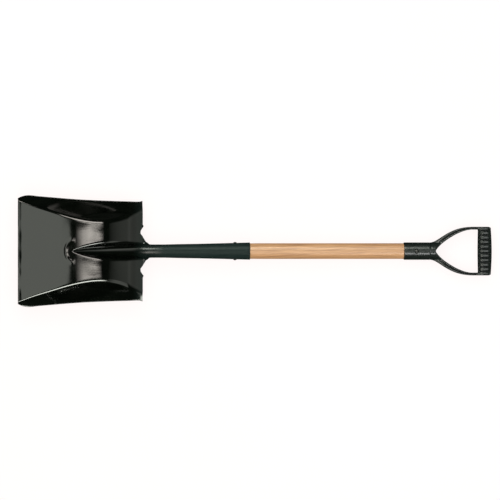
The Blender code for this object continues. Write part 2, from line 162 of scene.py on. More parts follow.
# D-grip.
FERRULE_R = 0.0199
FERRULE_BORE_R = 0.0162
FERRULE_LIP = 0.0016
FERRULE_NOSE = ((0.9455, 0.0184), (0.9485, 0.0130))
ARM_OUTER = ((FERRULE_END_X, 0.0196), (0.966, 0.0199), (0.985, 0.0557), (ARMS_LEVEL_X, 0.0557))
ARM_INNER = ((CROTCH_X, 0.0), (CROTCH_X, 0.0080), (1.004, 0.0495), (ARMS_LEVEL_X, 0.0495))
CROTCH_BACK_X = 0.9375
CROTCH_BACK_DEPTH = 0.006
CROTCH_BACK_HALF = 0.018
CROTCH_STEPS = 4
ARM_STEPS = 40
ARM_TIP_STEPS = 10
ARM_END_X = 1.0812
ARM_CORNER = 0.0045
ARM_CORNER_TURN = math.radians(75)
ROOT_R = 0.0194
ROOT_LEAST_Z = 0.003
ARM_DEPTH = ((0.0, 0.0150), (0.25, 0.0138), (0.5, 0.0122), (0.8, 0.0122), (1.0, 0.0135))
ARM_EDGE = 0.0012
ARM_EDGE_SHARE = 0.3
ARM_FLATTENS_T = (0.05, 0.5)
CHANNEL_SHARE = 0.30
CHANNEL_FLOOR_SHARE = 0.8
CHANNEL_DEPTH = 0.0070
CHANNEL_DEEPENS_T = (0.15, 0.45)
CHANNEL_RUNS_OUT_T = (1.0, 1.4)
BAR_THICK = 0.0165
BAR_END_THICK = 0.0148
BAR_HALF_LENGTH = 0.0540
BAR_ROUNDNESS = 3.0
BAR_INNER_SHARE = 0.4
BAR_STATIONS = 36
BAR_POINTS = 64
GROOVES = 10
GROOVE_PITCH = 0.0104
GROOVE_HALF = 0.0023
GROOVE_LENGTH = 0.0360
GROOVE_FLOOR_Z = 0.0070
GROOVE_TOP_Z = 0.0200
RIB_ROUND = 0.0009
ARC_STEPS = 6
RECESS_R = 0.0050
RECESS_DEPTH = 0.0024
RECESS_CUT_TOP = 0.03
BORE_START_X = FERRULE_START_X - 0.01
BORE_END_X = SPIGOT_END_X + 0.001
GRIP_CREASE = 35
GRIP_VOXEL = 0.0006
GRIP_SMOOTHING = 9

# Looks. A palette is the (position, colour) stops of a colour ramp; a range is (low, high).
PAN_BLACKS = ((0.3, (0.0008, 0.0014, 0.0008)), (0.7, (0.0022, 0.0032, 0.0020)))
SOCKET_GREENS = ((0.35, (0.0085, 0.0185, 0.0160)), (0.75, (0.0150, 0.0285, 0.0245)))
DUST = (0.020, 0.024, 0.020, 1)
PAN_ROUGHNESS = (0.045, 0.10)
SOCKET_ROUGHNESS = (0.40, 0.54)
PAN_SPECULAR = 0.5
SOCKET_SPECULAR = 0.07
ASH_GRAIN = ((0.15, (0.37, 0.178, 0.068)), (0.5, (0.52, 0.272, 0.108)), (0.88, (0.66, 0.366, 0.160)))
ASH_PORE = (0.36, 0.180, 0.080, 1)
ASH_WARM = (0.62, 0.330, 0.150, 1)
ASH_ROUGHNESS = (0.58, 0.44)
YEAR_RINGS_PER_METRE = 1500.0
YEAR_RING_TILT = 0.45
YEAR_RING_DRIFT = 0.030
YEAR_RING_SHARE = 0.22
STREAK_SHARE = 0.78
PLASTIC_GREENS = ((0.3, (0.0055, 0.0090, 0.0070)), (0.7, (0.0110, 0.0162, 0.0132)))
PLASTIC_ROUGHNESS = (0.24, 0.34)
RIVET_GREYS = ((0.4, (0.020, 0.026, 0.023)), (0.75, (0.080, 0.085, 0.078)))
RIVET_ROUGHNESS = (0.34, 0.50)
SCREW_GREYS = ((0.3, (0.03, 0.03, 0.028)), (0.7, (0.10, 0.10, 0.095)))
SCREW_ROUGHNESS = (0.28, 0.45)
FLOOR_WHITES = ((0.3, (0.085, 0.084, 0.083)), (0.7, (0.093, 0.092, 0.091)))
FLOOR_GLOW = (1.0, 0.948, 0.937, 1)

# Places of the factor, the two colours and the mixed colour on a colour Mix node.
MIX_INPUTS = (0, 6, 7)
MIX_OUTPUT = 2

# Camera: straight above, on a long lens.
CAMERA_X = -0.0117
CAMERA_Y = 0.0025
CAMERA_HEIGHT = 6.0
VIEW_WIDTH = 1.145
VIEW_LEVEL = 0.03
SENSOR = 36.0
CAMERA_REACH = 4 * CAMERA_HEIGHT

# Studio lights, as (lowest x, highest x, lowest y, highest y, height, radiance, tint, fades, slant).
# The fades are the shares of its length and of its width over which a card dims at its edges. The slant
# is the share of its width that is cut off at its rear end. The glossy surfaces mirror the cards; only
# the soft fill lights the wood and the floor.
WARM = (1.0, 0.94, 0.86)
GREENISH = (0.96, 1.0, 0.90)
WHITE = (1.0, 1.0, 1.0)
CARDS = {
    "overhead_left": (-0.84, -0.03, -0.024, 0.0725, 1.5, 9.0, WARM, (0.32, 0.12), 0.75),
    "overhead_gap": (-0.60, -0.03, -0.045, -0.024, 1.5, 1.0, WARM, (0.10, 0.10), 0.0),
    "overhead_right": (-0.74, -0.03, -0.14, -0.042, 1.5, 8.8, WARM, (0.40, 0.16), 0.0),
    "right_panel": (-0.80, -0.05, -1.10, -0.25, 1.5, 9.0, WARM, (0.10, 0.10), 0.0),
    "crest_card": (-1.90, -1.05, 0.14, 2.60, 1.5, 1.2, GREENISH, (0.40, 0.10), 0.0),
    "front_card": (0.075, 0.50, -0.45, 0.45, 1.5, 1.95, GREENISH, (0.10, 0.10), 0.0),
    "left_strip": (-1.12, 0.62, 0.95, 1.85, 1.5, 18.0, GREENISH, (0.22, 0.06), 0.0),
    "grip_card": (0.22, 0.56, -0.52, -0.30, 0.6, 15.0, WHITE, (0.15, 0.15), 0.0),
    "grip_left_card": (0.22, 0.56, 0.44, 0.66, 0.6, 2.0, WHITE, (0.15, 0.15), 0.0),
    "arm_card": (0.48, 0.56, -0.12, 0.12, 0.6, 0.7, WHITE, (0.20, 0.20), 0.0),
    "bar_card": (0.52, 0.80, -0.20, 0.20, 0.5, 3.0, WHITE, (0.25, 0.20), 0.0),
}
FILL = (-2.0, 2.0, -2.4, 2.4, 2.2, 1.20, WHITE, (0.05, 0.05), 0.0)
REAR_CARD_X = -3.0
REAR_CARD_WIDTH = 3.0
REAR_CARD_LOW = -2.0
REAR_CARD_HIGH = 5.0
REAR_CARD_RADIANCE = 0.80
REAR_CARD_FADES = (0.5, 0.5)

# What surrounds the studio, as the camera, dull surfaces and mirroring surfaces see it.
BACKDROP = (0.99, 0.975, 0.965, 1)
SOFT_SURROUND = (0.55, 0.54, 0.53, 1)
MIRRORED_SURROUND = (0.018, 0.022, 0.018, 1)
FLOOR_HALF = 6.0
FLOOR_CELLS = 8


# ---------------------------------------------------------------- curves


def lay_down():
    """Placement of the handle's frame, from the rivet, which is the same about its own middle."""
    low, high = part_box("socket_rivet")
    to_rivet = Matrix.Translation((-RIVET_X, 0, 0))
    return Matrix.Translation(0.5 * (low + high)) @ Matrix.Rotation(REST_PITCH, 4, "Y") @ to_rivet


def through(points, x):
    """The value at x of the smooth curve through the (station, value) points."""
    x = min(max(x, points[0][0]), points[-1][0])
    after = next(i for i in range(1, len(points)) if x <= points[i][0])
    before = after - 1

    def slope(i):
        low, high = max(i - 1, 0), min(i + 1, len(points) - 1)
        return (points[high][1] - points[low][1]) / (points[high][0] - points[low][0])

    span = points[after][0] - points[before][0]
    t = (x - points[before][0]) / span
    rise = points[after][1] - points[before][1]
    start = slope(before) * span
    end = slope(after) * span
    curved = (3 * rise - 2 * start - end) * t**2 + (start + end - 2 * rise) * t**3
    return points[before][1] + start * t + curved


def smoothstep(low, high, x):
    t = min(max((x - low) / (high - low), 0.0), 1.0)
    return t * t * (3 - 2 * t)


def spaced(start, end, count):
    """Count evenly spaced values after start, the last of them at end."""
    return [start + (end - start) * (i + 1) / count for i in range(count)]


def stations(start, rows):
    """Stations after start, from (last station, number of rows) runs."""
    found = []
    for end, count in rows:
        found += spaced(start, end, count)
        start = end
    return found


def bezier(corners, t):
    weights = ((1 - t) ** 3, 3 * t * (1 - t) ** 2, 3 * t * t * (1 - t), t**3)
    return tuple(sum(w * corner[k] for w, corner in zip(weights, corners)) for k in (0, 1))


# ---------------------------------------------------------------- nodes for materials


def new_material(name, **shader_values):
    """A Principled material; the values are those that are the same all over the surface."""
    made = bpy.data.materials.new(name)
    made.use_nodes = True
    shader = made.node_tree.nodes["Principled BSDF"]
    for socket, value in shader_values.items():
        shader.inputs[socket.replace("_", " ")].default_value = value
    return made, made.node_tree, shader


def feed(tree, value, socket):
    """Sets a socket to a value, or links it to the output socket that feeds it."""
    if isinstance(value, bpy.types.NodeSocket):
        tree.links.new(value, socket)
    else:
        socket.default_value = value


def node(tree, kind, inputs=None, **settings):
    """Adds a node. Each input is a value, or the output socket that feeds it."""
    made = tree.nodes.new(kind)
    for name, value in settings.items():
        setattr(made, name, value)
    for name, value in (inputs or {}).items():
        feed(tree, value, made.inputs[name])
    return made


def object_place(tree, stretch=(1, 1, 1)):
    """Object coordinates, which are metres in the row's frame, scaled along each axis."""
    place = node(tree, "ShaderNodeTexCoord").outputs["Object"]
    return node(tree, "ShaderNodeMapping", {"Vector": place, "Scale": stretch}).outputs["Vector"]


def noise_value(tree, place, scale, detail=3.0, roughness=0.5, distortion=0.0):
    inputs = {"Vector": place, "Scale": scale, "Detail": detail, "Roughness": roughness,
              "Distortion": distortion}
    return node(tree, "ShaderNodeTexNoise", inputs).outputs["Fac"]


def remap(tree, value, low, high, new_low=0.0, new_high=1.0):
    inputs = {"Value": value, "From Min": low, "From Max": high, "To Min": new_low, "To Max": new_high}
    return node(tree, "ShaderNodeMapRange", inputs).outputs["Result"]


def calculate(tree, operation, first, second=0.0):
    made = node(tree, "ShaderNodeMath", operation=operation)
    for socket, value in zip(made.inputs, (first, second)):
        feed(tree, value, socket)
    return made.outputs["Value"]


def ramp(tree, factor, *stops):
    """Colour ramp from (position, colour) stops."""
    made = node(tree, "ShaderNodeValToRGB", {"Fac": factor})
    elements = made.color_ramp.elements
    elements[0].position, elements[0].color = stops[0][0], (*stops[0][1], 1)
    elements[1].position, elements[1].color = stops[-1][0], (*stops[-1][1], 1)
    for position, colour in stops[1:-1]:
        elements.new(position).color = (*colour, 1)
    return made.outputs["Color"]


def blend_colours(tree, factor, first, second):
    made = node(tree, "ShaderNodeMix", data_type="RGBA")
    for k, value in zip(MIX_INPUTS, (factor, first, second)):
        feed(tree, value, made.inputs[k])
    return made.outputs[MIX_OUTPUT]


def bump(tree, height, strength, distance, normal=None):
    inputs = {"Height": height, "Strength": strength, "Distance": distance}
    if normal:
        inputs["Normal"] = normal
    return node(tree, "ShaderNodeBump", inputs).outputs["Normal"]


def between_stations(tree, start, end):
    """0 before the start station of the handle, 1 past the end one."""
    place = node(tree, "ShaderNodeTexCoord").outputs["Object"]
    x = node(tree, "ShaderNodeSeparateXYZ", {"Vector": place}).outputs["X"]
    low, high = ((lay_down() @ Vector((station, 0, 0))).x for station in (start, end))
    return remap(tree, x, low, high)


# ---------------------------------------------------------------- materials


def black_enamel():
    """Baked black enamel: mirror-like in the pan, satin with scuffs on the socket."""
    made, tree, shader = new_material("black_enamel", IOR=1.55)
    place = object_place(tree)
    satin = between_stations(tree, GLOSS_END_X, SATIN_START_X)
    smudge = noise_value(tree, place, scale=34, detail=5, roughness=0.6, distortion=0.6)
    dust = noise_value(tree, place, scale=900, detail=2)
    scuffs = noise_value(tree, object_place(tree, (14, 150, 150)), scale=2.0, detail=5, roughness=0.65)

    pan_colour = ramp(tree, smudge, *PAN_BLACKS)
    socket_colour = ramp(tree, scuffs, *SOCKET_GREENS)
    colour = blend_colours(tree, satin, pan_colour, socket_colour)
    specks = remap(tree, dust, 0.74, 0.82, 0.0, 0.25)
    colour = blend_colours(tree, specks, colour, DUST)
    tree.links.new(colour, shader.inputs["Base Color"])

    pan_rough = remap(tree, smudge, 0.35, 0.75, *PAN_ROUGHNESS)
    socket_rough = remap(tree, scuffs, 0.3, 0.7, *SOCKET_ROUGHNESS)
    step = calculate(tree, "SUBTRACT", socket_rough, pan_rough)
    rough = calculate(tree, "ADD", pan_rough, calculate(tree, "MULTIPLY", step, satin))
    tree.links.new(rough, shader.inputs["Roughness"])
    specular = remap(tree, satin, 0, 1, PAN_SPECULAR, SOCKET_SPECULAR)
    tree.links.new(specular, shader.inputs["Specular IOR Level"])

    peel = bump(tree, noise_value(tree, place, scale=260, detail=2), strength=0.12, distance=0.00006)
    relief = bump(tree, scuffs, strength=0.10, distance=0.0002, normal=peel)
    tree.links.new(relief, shader.inputs["Normal"])
    return made


def bare_ash():
    """Clear-finished ash: long grain bands, fine pores drawn out along the shaft."""
    made, tree, shader = new_material("bare_ash", Coat_Weight=0.25, Coat_Roughness=0.35)
    drift = noise_value(tree, object_place(tree, (3, 14, 14)), scale=1.0)
    place = node(tree, "ShaderNodeTexCoord").outputs["Object"]
    axes = node(tree, "ShaderNodeSeparateXYZ", {"Vector": place})
    tilted = calculate(tree, "MULTIPLY", axes.outputs["Z"], YEAR_RING_TILT)
    across = calculate(tree, "ADD", axes.outputs["Y"], tilted)
    shifted = calculate(tree, "ADD", across, calculate(tree, "MULTIPLY", drift, YEAR_RING_DRIFT))
    rings = calculate(tree, "SINE", calculate(tree, "MULTIPLY", shifted, YEAR_RINGS_PER_METRE))
    streaks = noise_value(tree, object_place(tree, (7, 330, 330)), scale=1.0, detail=4, roughness=0.6)
    pores = noise_value(tree, object_place(tree, (28, 1500, 1500)), scale=1.0, roughness=0.6)
    patches = noise_value(tree, object_place(tree, (5, 30, 30)), scale=1.0)

    faint_rings = calculate(tree, "MULTIPLY", remap(tree, rings, -1, 1), YEAR_RING_SHARE)
    strong_streaks = remap(tree, streaks, 0.28, 0.72, 0.0, STREAK_SHARE)
    colour = ramp(tree, calculate(tree, "ADD", faint_rings, strong_streaks), *ASH_GRAIN)
    dark_pores = remap(tree, pores, 0.60, 0.72, 0.0, 0.45)
    colour = blend_colours(tree, dark_pores, colour, ASH_PORE)
    warm = remap(tree, patches, 0.35, 0.7, 0.0, 0.30)
    colour = blend_colours(tree, warm, colour, ASH_WARM)
    tree.links.new(colour, shader.inputs["Base Color"])
    tree.links.new(remap(tree, streaks, 0.2, 0.8, *ASH_ROUGHNESS), shader.inputs["Roughness"])
    relief = calculate(tree, "SUBTRACT", streaks, calculate(tree, "MULTIPLY", dark_pores, 0.8))
    tree.links.new(bump(tree, relief, strength=0.35, distance=0.0002), shader.inputs["Normal"])
    return made


def green_black_plastic():
    """Glass-filled nylon: fine moulded grain, faint flow marks, a little polish where hands rub."""
    made, tree, shader = new_material("green_black_plastic", IOR=1.5)
    place = object_place(tree)
    flow_place = object_place(tree, (22, 60, 60))
    flow = noise_value(tree, flow_place, scale=1.0, detail=5, roughness=0.6, distortion=0.8)
    grain = noise_value(tree, place, scale=1900, detail=2)
    tree.links.new(ramp(tree, flow, *PLASTIC_GREENS), shader.inputs["Base Color"])
    polish = noise_value(tree, place, scale=60, detail=4, roughness=0.6)
    tree.links.new(remap(tree, polish, 0.3, 0.7, *PLASTIC_ROUGHNESS), shader.inputs["Roughness"])
    fine = bump(tree, grain, strength=0.08, distance=0.00006)
    relief = bump(tree, flow, strength=0.10, distance=0.0004, normal=fine)
    tree.links.new(relief, shader.inputs["Normal"])
    return made


def steel(name, metallic, scale, greys, roughness):
    """Steel whose tone, gloss and relief follow one fine noise."""
    made, tree, shader = new_material(name, Metallic=metallic)
    wear = noise_value(tree, object_place(tree), scale, detail=4, roughness=0.6)
    tree.links.new(ramp(tree, wear, *greys), shader.inputs["Base Color"])
    tree.links.new(remap(tree, wear, 0.3, 0.7, *roughness), shader.inputs["Roughness"])
    tree.links.new(bump(tree, wear, strength=0.2, distance=0.0001), shader.inputs["Normal"])
    return made


def dark_steel():
    """Rivet steel under the socket's enamel, rubbed on top of its heads."""
    return steel("dark_steel", 0.6, 700, RIVET_GREYS, RIVET_ROUGHNESS)


def bright_steel():
    """Zinc-plated screw, dulled in patches."""
    return steel("bright_steel", 1.0, 900, SCREW_GREYS, SCREW_ROUGHNESS)


def pale_floor():
    """A light table: it glows evenly, so that the tool casts hardly any shadow on it."""
    made, tree, shader = new_material("pale_floor", Roughness=0.9, Emission_Strength=0.925,
                                      Emission_Color=FLOOR_GLOW)
    mottle = noise_value(tree, object_place(tree), scale=3.0)
    tree.links.new(ramp(tree, mottle, *FLOOR_WHITES), shader.inputs["Base Color"])
    return made


# ---------------------------------------------------------------- mesh helpers


def add_object(name, bm, finish=None, sharp=40):
    """Turns the drawn faces into an object, pointing out, with creases above the sharp angle."""
    bmesh.ops.recalc_face_normals(bm, faces=bm.faces)
    mesh = bpy.data.meshes.new(name)
    bm.to_mesh(mesh)
    bm.free()
    mesh.shade_smooth()
    mesh.set_sharp_from_angle(angle=math.radians(sharp))
    made = bpy.data.objects.new(name, mesh)
    bpy.context.scene.collection.objects.link(made)
    if finish:
        mesh.materials.append(finish)
    return made


def settle(piece):
    """Applies the modifiers, so that only the finished mesh is left."""
    bpy.context.view_layer.update()
    graph = bpy.context.evaluated_depsgraph_get()
    finished = bpy.data.meshes.new_from_object(piece.evaluated_get(graph))
    piece.modifiers.clear()
    piece.data = finished


def combine(target, bm, operation):
    """Joins a solid to the target, or cuts it away."""
    other = add_object("tool", bm)
    change = target.modifiers.new(operation, "BOOLEAN")
    change.operation = operation
    change.solver = "EXACT"
    change.object = other
    settle(target)
    bpy.data.objects.remove(other)


def turned(profile, segments, turn=Matrix()):
    """A solid turned about X from (x, radius) points, then placed by the turn matrix."""
    bm = bmesh.new()
    rings = []
    for x, radius in profile:
        angles = [math.tau * k / segments for k in range(segments)]
        rings.append([bm.verts.new((x, radius * math.cos(a), radius * math.sin(a))) for a in angles])
    for ring, following in zip(rings, rings[1:]):
        for k in range(segments):
            after = (k + 1) % segments
            bm.faces.new((ring[k], ring[after], following[after], following[k]))
    bm.faces.new(rings[0])
    bm.faces.new(rings[-1])
    bm.transform(turn)
    return bm


def skin(sections):
    """A closed solid through sections that all have the same number of points."""
    bm = bmesh.new()
    rings = [[bm.verts.new(point) for point in section] for section in sections]
    for ring, following in zip(rings, rings[1:]):
        for k in range(len(ring)):
            after = (k + 1) % len(ring)
            bm.faces.new((ring[k], ring[after], following[after], following[k]))
    bm.faces.new(rings[0])
    bm.faces.new(rings[-1])
    return bm


def cross_axis(x):
    """Turns a solid made along X so that it runs along Y through station x."""
    return Matrix.Translation((x, 0, 0)) @ Matrix.Rotation(math.pi / 2, 4, "Z")


def upright_axis(x):
    """Turns a solid made along X so that it runs along Z through station x."""
    return Matrix.Translation((x, 0, 0)) @ Matrix.Rotation(-math.pi / 2, 4, "Y")


def install(piece, cad_node):
    """Puts a piece made in the handle's frame in its place, where it stands for its CAD node."""
    piece.data.transform(lay_down())
    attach(piece, "root")
    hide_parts(cad_node)


# ---------------------------------------------------------------- blade


def arch(x):
    """Top radius, foot radius, flank angle, flank length and half width of the frog at x."""
    top, foot = through(ARCH_RADIUS, x), through(ARCH_FOOT_RADIUS, x)
    height = max(through(CREST_Z, x) - through(FLOOR_Z, x), 0.0) if x > FROG_TIP_X else 0.0
    full = (top + foot) * (1 - math.cos(ARCH_FLANK))
    if height < full:
        flank, angle = 0.0, math.acos(1 - height / (top + foot))
    else:
        flank, angle = (height - full) / math.sin(ARCH_FLANK), ARCH_FLANK
    half = (top + foot) * math.sin(angle) + flank * math.cos(angle)
    return top, foot, angle, flank, half


def arch_slope(s, top, foot, angle, flank):
    """Downward angle of the open section at arc length s from its crest."""
    if s < top * angle:
        return s / top
    if s < top * angle + flank:
        return angle
    return max(angle - (s - top * angle - flank) / foot, 0.0)


def strip(x):
    """Half of the middle strip: open arch over the pan, rolled into the socket behind it.

    Behind the notch the sheet is cut back to a pointed shoulder before it closes under the socket.
    """
    rolled = smoothstep(ROLL_START_X, ROLL_END_X, x)
    closed = smoothstep(SHOULDER_X, TUBE_CLOSED_X, x)
    cut_back = min(max((x - NOTCH_X) / (SHOULDER_X - NOTCH_X), 0.0), 1.0)
    top, foot, angle, flank, half = arch(x)
    reach = STRIP_HALF + (SHOULDER_HALF - STRIP_HALF) * cut_back
    open_length = (top + foot) * angle + flank + reach - half
    radius = through(CREST_Z, max(x, TUBE_RADIUS_X))
    tube_length = radius * (math.pi - SEAM_HALF_ANGLE)
    length = open_length + (tube_length - open_length) * closed
    crest = through(CREST_Z, x) if x > FROG_TIP_X else through(FLOOR_Z, x)
    steps = STEPS_PER_COLUMN * STRIP_COLUMNS
    points, y, z = [(0.0, crest)], 0.0, crest
    for i in range(steps):
        s = length * (i + 0.5) / steps
        bend = arch_slope(s, top, foot, angle, flank) * (1 - rolled) + s / radius * rolled
        y += length / steps * math.cos(bend)
        z -= length / steps * math.sin(bend)
        if (i + 1) % STEPS_PER_COLUMN == 0:
            points.append((y, z))
    return points


def pan_edge_points(x):
    """Half of the pan outside the middle strip: floor, rounded fold and side wall."""
    floor, fold = through(FLOOR_Z, x), through(FOLD_Y, x)
    rim_y, rim_z = through(RIM_Y, x), through(RIM_Z, x)
    wall = math.atan2(rim_z - floor, rim_y - fold)
    reach = FOLD_REACH * math.hypot(rim_z - floor, rim_y - fold)
    tangent = min(through(FOLD_RADIUS, x) * math.tan(wall / 2), reach)
    radius = tangent / math.tan(wall / 2)
    floor_end = fold - tangent
    shares = [share**FLOOR_CROWDING for share in spaced(0.0, 1.0, FLOOR_COLUMNS)]
    points = [(STRIP_HALF + (floor_end - STRIP_HALF) * share, floor) for share in shares]
    for angle in spaced(0.0, wall, FOLD_COLUMNS):
        points.append((floor_end + radius * math.sin(angle), floor + radius * (1 - math.cos(angle))))
    wall_start = points[-1]
    for share in spaced(0.0, 1.0, WALL_COLUMNS):
        points.append((wall_start[0] + (rim_y - wall_start[0]) * share,
                       wall_start[1] + (rim_z - wall_start[1]) * share))
    return points


def step_edge_x(y):
    """Station of the rear edge at distance y from the middle, with its notch and small hook."""
    notch = smoothstep(STRIP_HALF + NOTCH_FLAT_SHARE * NOTCH_HALF, STRIP_HALF + NOTCH_HALF, y)
    hook = HOOK_LENGTH * max(1 - abs(y - STRIP_HALF - NOTCH_HALF) / HOOK_WIDTH, 0.0)
    return NOTCH_X + (STEP_EDGE_X - NOTCH_X) * notch + hook


def press_marks(x, y):
    """How far the sheet stands off its smooth shape: a ring round the frog's tip, a worn lip, waves."""
    distance = math.hypot(RING_STRETCH * (x - RING_X), y)
    ahead = smoothstep(RING_FADE, -RING_FADE, x - RING_X)
    ring = -RING_DEPTH * math.exp(-(((distance - RING_RADIUS) / RING_WIDTH) ** 2)) * ahead
    fade = 1 - smoothstep(*WAVES_FADE_X, x)
    place = Vector((x, y, 0)) * WAVE_PER_METRE
    wear = 1 + noise.noise(Vector((0, y, 1)) * LIP_WAVES_PER_METRE)
    lip = -LIP_DROP * wear * (1 - smoothstep(0, LIP_LENGTH, x))
    return ring + lip + WAVE_HEIGHT * noise.noise(place) * fade


def blade_sheet():
    """The upper and outer face of the pressing, as one open surface."""
    bm = bmesh.new()
    rows = []
    for x in [0.0] + stations(0.0, PAN_ROWS):
        near_edge = smoothstep(EDGE_BLEND_X, NOTCH_X, x)
        half = [(y, z, x) for y, z in strip(x)]
        for k, (y, _) in enumerate(pan_edge_points(x)):
            moved = x + (step_edge_x(y) - NOTCH_X) * near_edge
            half.append((*pan_edge_points(moved)[k], moved))
        left = [bm.verts.new((px, y, z + press_marks(px, y))) for y, z, px in reversed(half[1:])]
        right = [bm.verts.new((px, -y, z + press_marks(px, -y))) for y, z, px in half]
        rows.append(left + right)
    middle = len(rows[0]) // 2
    tube_rows = [rows[-1][middle - STRIP_COLUMNS:middle + STRIP_COLUMNS + 1]]
    for x in stations(NOTCH_X, SOCKET_ROWS):
        half = strip(x)
        left = [bm.verts.new((x, y, z)) for y, z in reversed(half[1:])]
        tube_rows.append(left + [bm.verts.new((x, -y, z)) for y, z in half])
    for group in (rows, tube_rows):
        for row, following in zip(group, group[1:]):
            for k in range(len(row) - 1):
                bm.faces.new((row[k], row[k + 1], following[k + 1], following[k]))
    return bm


def make_blade(finish):
    blade = add_object("blade_pressing", blade_sheet(), finish, SHEET_CREASE)
    if blade.data.polygons[0].normal.z < 0:
        blade.data.flip_normals()
    wall = blade.modifiers.new("sheet", "SOLIDIFY")
    wall.thickness = SHEET
    wall.offset = -1
    wall.use_even_offset = True
    edge = blade.modifiers.new("edge", "BEVEL")
    edge.width = EDGE_ROUND
    edge.segments = 2
    edge.limit_method = "ANGLE"
    edge.angle_limit = math.radians(SHEET_CREASE)
    settle(blade)
    return blade


# ---------------------------------------------------------------- shaft and fasteners


def make_shaft(finish):
    """Turned stick: rounded tail, taper that follows the socket, plain length, shouldered spigot."""
    profile = [(TAIL_END_X + dx, radius) for dx, radius in TAIL_ROUNDING]
    for x in [TAIL_END_X] + spaced(TAIL_END_X, SOCKET_MOUTH_X - 0.5 * MOUTH_LEAD, TAIL_ROWS):
        profile.append((x, min(through(CREST_Z, x) - SHEET - TAIL_GAP, SHAFT_R)))
    shoulder = FERRULE_START_X - CLEARANCE
    for x in spaced(SOCKET_MOUTH_X + MOUTH_LEAD, shoulder, SHAFT_ROWS):
        profile.append((x, SHAFT_R))
    profile += [(shoulder, SPIGOT_R), (SPIGOT_END_X, SPIGOT_R)]
    return add_object("shaft_stick", turned(profile, WIDE_SEGMENTS), finish)


def make_rivet(finish):
    """Solid rivet with a low dome on each end, side to side through the socket."""
    seat = through(CREST_Z, RIVET_X) + CLEARANCE
    dome = []
    for angle in spaced(0.0, RIVET_DOME, RIVET_DOME_STEPS):
        dome.append((seat + RIVET_HEAD_H * math.sin(angle), RIVET_HEAD_R * math.cos(angle)))
    right = [(seat, RIVET_R), (seat, RIVET_HEAD_R)] + dome
    left = [(-x, radius) for x, radius in reversed(right)]
    return add_object("rivet_steel", turned(left + right, NARROW_SEGMENTS, cross_axis(RIVET_X)), finish)


def make_screw(finish):
    """Pan-head screw with a cross slot, sunk in the ferrule's recess."""
    seat = FERRULE_R - RECESS_DEPTH + CLEARANCE
    profile = [(SCREW_TIP_Z, SCREW_POINT_R), (SCREW_TIP_Z + SCREW_POINT_LENGTH, SCREW_R),
               (seat, SCREW_R), (seat, SCREW_HEAD_R)]
    for angle in spaced(0.0, SCREW_DOME, SCREW_DOME_STEPS):
        profile.append((seat + SCREW_HEAD_H * math.sin(angle), SCREW_HEAD_R * math.cos(angle)))
    screw = add_object("screw_steel", turned(profile, NARROW_SEGMENTS, upright_axis(SCREW_X)), finish)
    place = Matrix.Translation((SCREW_X, 0, seat + SCREW_HEAD_H - 0.5 * SLOT_DEPTH))
    for size in ((SLOT_WIDTH, SLOT_LENGTH), (SLOT_LENGTH, SLOT_WIDTH)):
        slot = bmesh.new()
        bmesh.ops.create_cube(slot, size=1, matrix=place @ Matrix.Diagonal((*size, 2 * SLOT_DEPTH, 1)))
        combine(screw, slot, "DIFFERENCE")
    return screw


# ---------------------------------------------------------------- D-grip


def ferrule():
    profile = [(FERRULE_START_X, FERRULE_R - FERRULE_LIP)]
    for angle in spaced(0.0, math.pi / 2, ARC_STEPS):
        profile.append((FERRULE_START_X + FERRULE_LIP * (1 - math.cos(angle)),
                        FERRULE_R - FERRULE_LIP * (1 - math.sin(angle))))
    profile += [(FERRULE_END_X, FERRULE_R), *FERRULE_NOSE]
    return turned(profile, WIDE_SEGMENTS)


def arm_section(t):
    """Section of an arm at t: round where it leaves the ferrule, H-shaped further out."""
    inner, outer = arm_outline(t)
    inner, outer = Vector((*inner, 0)), Vector((*outer, 0))
    across = (outer - inner).normalized()
    width = (outer - inner).length
    depth = through(ARM_DEPTH, t)
    channel = CHANNEL_DEPTH * smoothstep(*CHANNEL_DEEPENS_T, t) * (1 - smoothstep(*CHANNEL_RUNS_OUT_T, t))
    groove = 0.5 * CHANNEL_SHARE * width
    groove_floor = CHANNEL_FLOOR_SHARE * groove
    middle = 0.5 * width
    edge = min(ARM_EDGE, ARM_EDGE_SHARE * width)
    top = [(0.0, depth - ARM_EDGE), (edge, depth), (0.5 * (edge + middle - groove), depth),
           (middle - groove, depth), (middle - groove_floor, depth - channel),
           (middle + groove_floor, depth - channel), (middle + groove, depth),
           (0.5 * (width - edge + middle + groove), depth), (width - edge, depth),
           (width, depth - ARM_EDGE)]
    flat = smoothstep(*ARM_FLATTENS_T, t)
    blended = []
    for w, z in top:
        place = inner + across * w
        round_z = math.sqrt(max(ROOT_R**2 - place.y**2, ROOT_LEAST_Z**2))
        blended.append(place + Vector((0, 0, round_z + (z - round_z) * flat)))
    return blended + [Vector((p.x, p.y, -p.z)) for p in reversed(blended)]


def arm_outline(t):
    """Inner and outer outline points: round the crotch first, then the arm, then its rounded end."""
    if t < 0:
        turn = -t * math.pi / 2
        back_x = CROTCH_BACK_X - CROTCH_BACK_DEPTH * math.sin(turn)
        return (CROTCH_X, 0.0), (back_x, CROTCH_BACK_HALF * math.cos(turn))
    if t <= 1:
        return bezier(ARM_INNER, t), bezier(ARM_OUTER, t)
    inner_y, outer_y = ARM_INNER[-1][1], ARM_OUTER[-1][1]
    corner_x = ARM_END_X - ARM_CORNER
    if t <= 2:
        x = ARMS_LEVEL_X + (corner_x - ARMS_LEVEL_X) * (t - 1)
        return (x, inner_y), (x, outer_y)
    turn = (t - 2) * ARM_CORNER_TURN
    x = corner_x + ARM_CORNER * math.sin(turn)
    return (x, inner_y), (x, outer_y - ARM_CORNER * (1 - math.cos(turn)))


